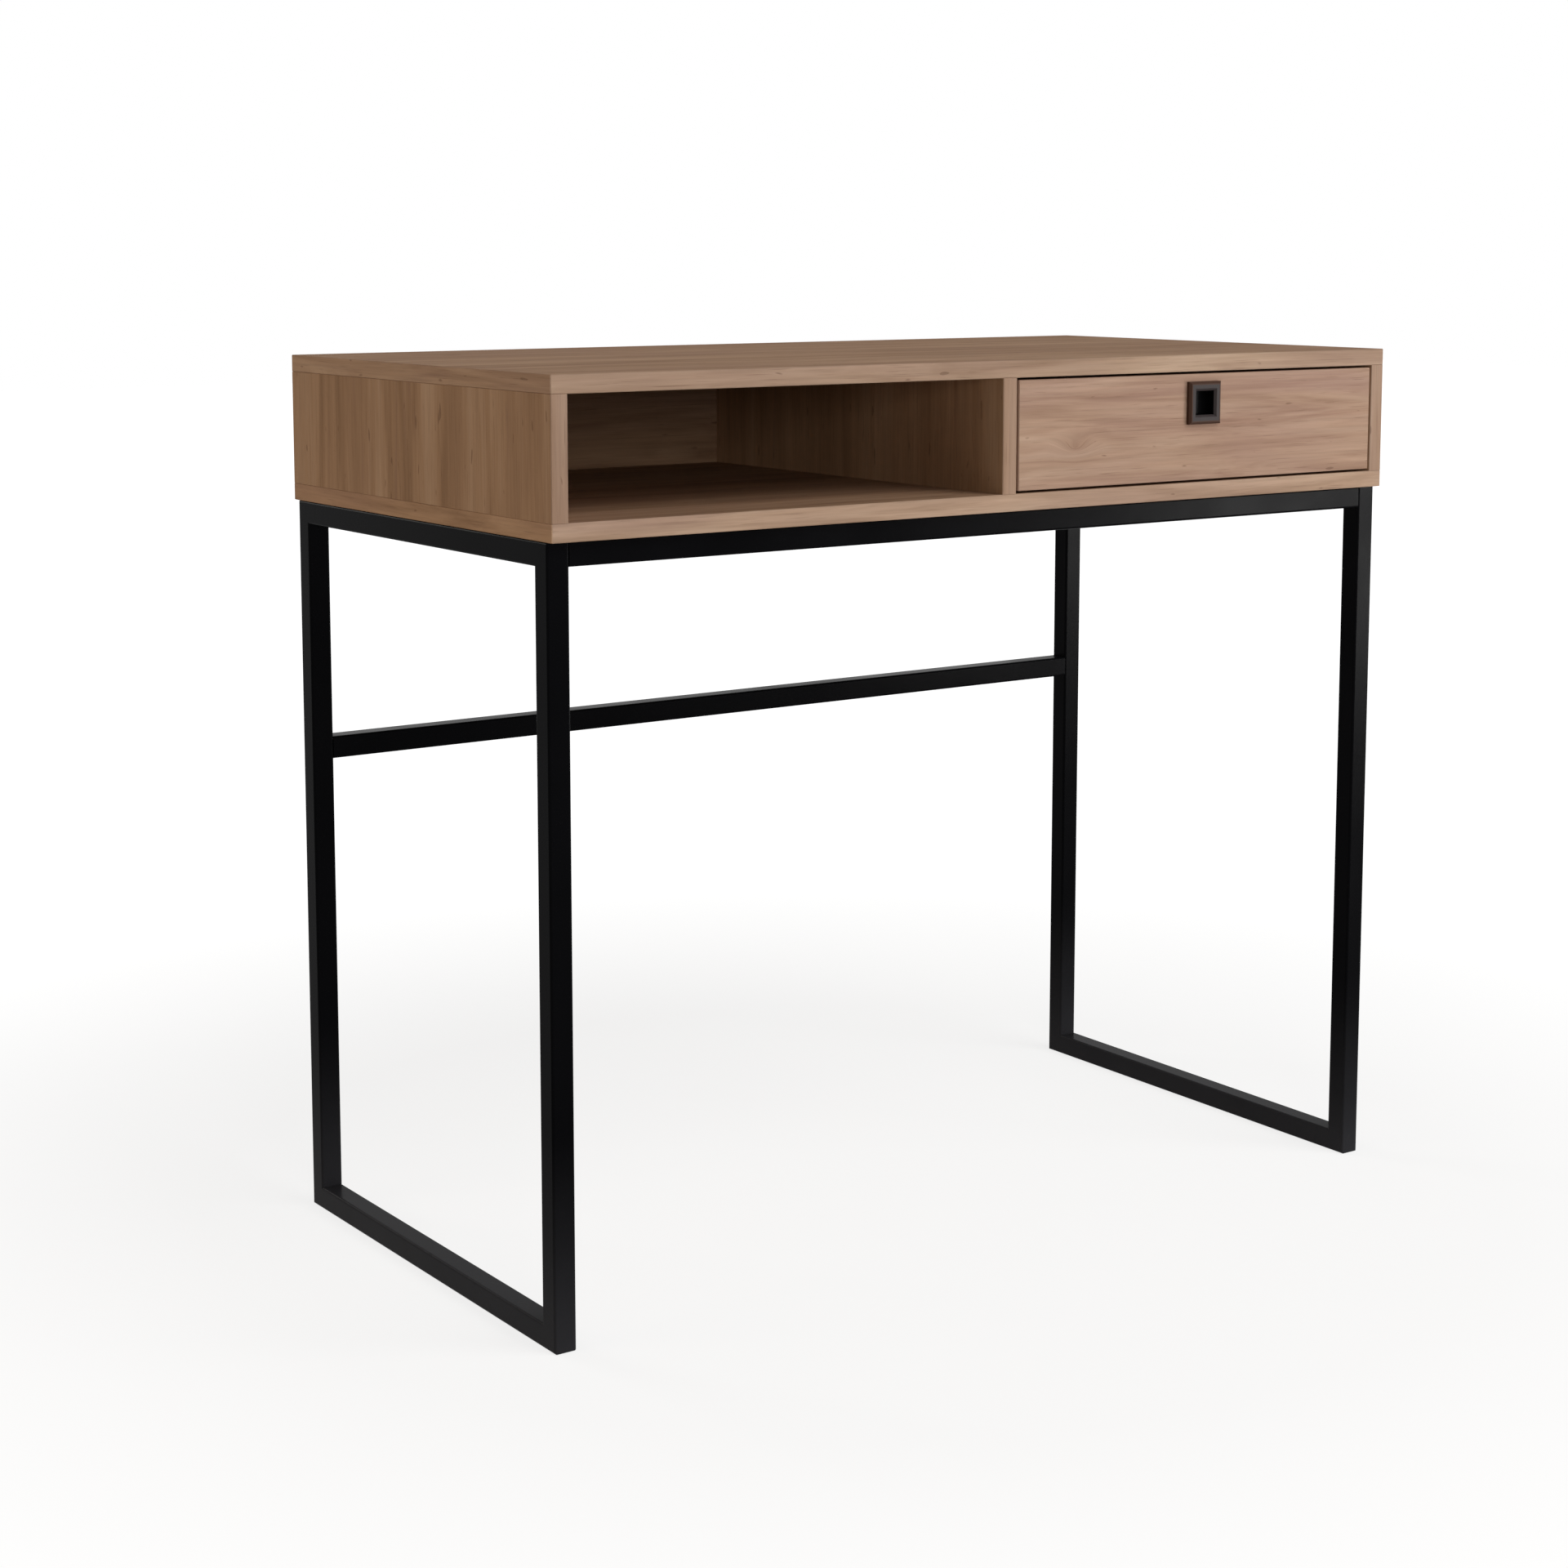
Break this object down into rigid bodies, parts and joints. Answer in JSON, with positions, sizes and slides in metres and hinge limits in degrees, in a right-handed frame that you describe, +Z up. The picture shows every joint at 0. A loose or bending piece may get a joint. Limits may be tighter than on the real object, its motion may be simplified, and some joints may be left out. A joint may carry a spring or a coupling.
{
  "type": "writing desk",
  "caption": "Low writing desk: a shallow oak-look board case with an open shelf and an inset roller-runner drawer, on a black square-tube sled frame.",
  "frame": {"origin": "floor level, under the middle of the desk", "axes": "+X along the width to the drawer's side, -Y out of the front, +Z up"},
  "size_m": [0.9, 0.461, 0.778],
  "materials": {
    "oak_decor": "matt oak-look decor foil with fine grain",
    "black_frame": "satin black powder coat",
    "pull_metal": "dark bronze lacquer",
    "drawer_board": "foil-wrapped board",
    "drawer_bottom": "thin lacquered hardboard",
    "runner_steel": "pale epoxy-coated steel",
    "roller_nylon": "natural nylon",
    "zinc_steel": "bright zinc plate",
    "tongue_wood": "plain birch"
  },
  "bodies": {
    "desk": {"top_panel": "oak_decor", "bottom_panel": "oak_decor", "left_side_panel": "oak_decor", "right_side_panel": "oak_decor", "center_divider": "oak_decor", "back_panel": "oak_decor", "case_tongues": "tongue_wood", "left_front_leg": "black_frame", "left_rear_leg": "black_frame", "left_floor_rail": "black_frame", "left_top_rail": "black_frame", "right_front_leg": "black_frame", "right_rear_leg": "black_frame", "right_floor_rail": "black_frame", "right_top_rail": "black_frame", "front_top_rail": "black_frame", "rear_top_rail": "black_frame", "rear_stretcher": "black_frame", "frame_screws": "zinc_steel", "left_case_rail": "runner_steel", "right_case_rail": "runner_steel", "case_runner_screws": "zinc_steel", "front_roller_pins": "zinc_steel"},
    "drawer": {"drawer_front": "oak_decor", "drawer_left_side": "drawer_board", "drawer_right_side": "drawer_board", "drawer_back": "drawer_board", "drawer_bottom": "drawer_bottom", "drawer_pull": "pull_metal", "pull_screw": "zinc_steel", "left_drawer_rail": "runner_steel", "right_drawer_rail": "runner_steel", "drawer_runner_screws": "zinc_steel", "rear_roller_pins": "zinc_steel"},
    "left_front_roller": {"left_front_roller": "roller_nylon"},
    "right_front_roller": {"right_front_roller": "roller_nylon"},
    "left_rear_roller": {"left_rear_roller": "roller_nylon"},
    "right_rear_roller": {"right_rear_roller": "roller_nylon"}
  },
  "joints": [
    {"name": "drawer_slide", "type": "slide", "parent": "desk", "child": "drawer", "axis": [0, -1, 0], "range_m": [0, 0.3]},
    {"name": "left_front_roller_turn", "type": "hinge", "parent": "desk", "child": "left_front_roller", "pos_m": [0.01375, -0.197, 0.6844], "axis": [1, 0, 0], "continuous": true},
    {"name": "right_front_roller_turn", "type": "hinge", "parent": "desk", "child": "right_front_roller", "pos_m": [0.42875, -0.197, 0.6844], "axis": [1, 0, 0], "continuous": true},
    {"name": "left_rear_roller_turn", "type": "hinge", "parent": "drawer", "child": "left_rear_roller", "pos_m": [0.01375, 0.1787, 0.6844], "axis": [1, 0, 0], "continuous": true},
    {"name": "right_rear_roller_turn", "type": "hinge", "parent": "drawer", "child": "right_rear_roller", "pos_m": [0.42875, 0.1787, 0.6844], "axis": [1, 0, 0], "continuous": true}
  ],
  "couplings": [
    {"joint": "left_front_roller_turn", "follows": "drawer_slide", "rad_per_m": 111.11},
    {"joint": "right_front_roller_turn", "follows": "drawer_slide", "rad_per_m": 111.11},
    {"joint": "left_rear_roller_turn", "follows": "drawer_slide", "rad_per_m": 111.11},
    {"joint": "right_rear_roller_turn", "follows": "drawer_slide", "rad_per_m": 111.11}
  ]
}
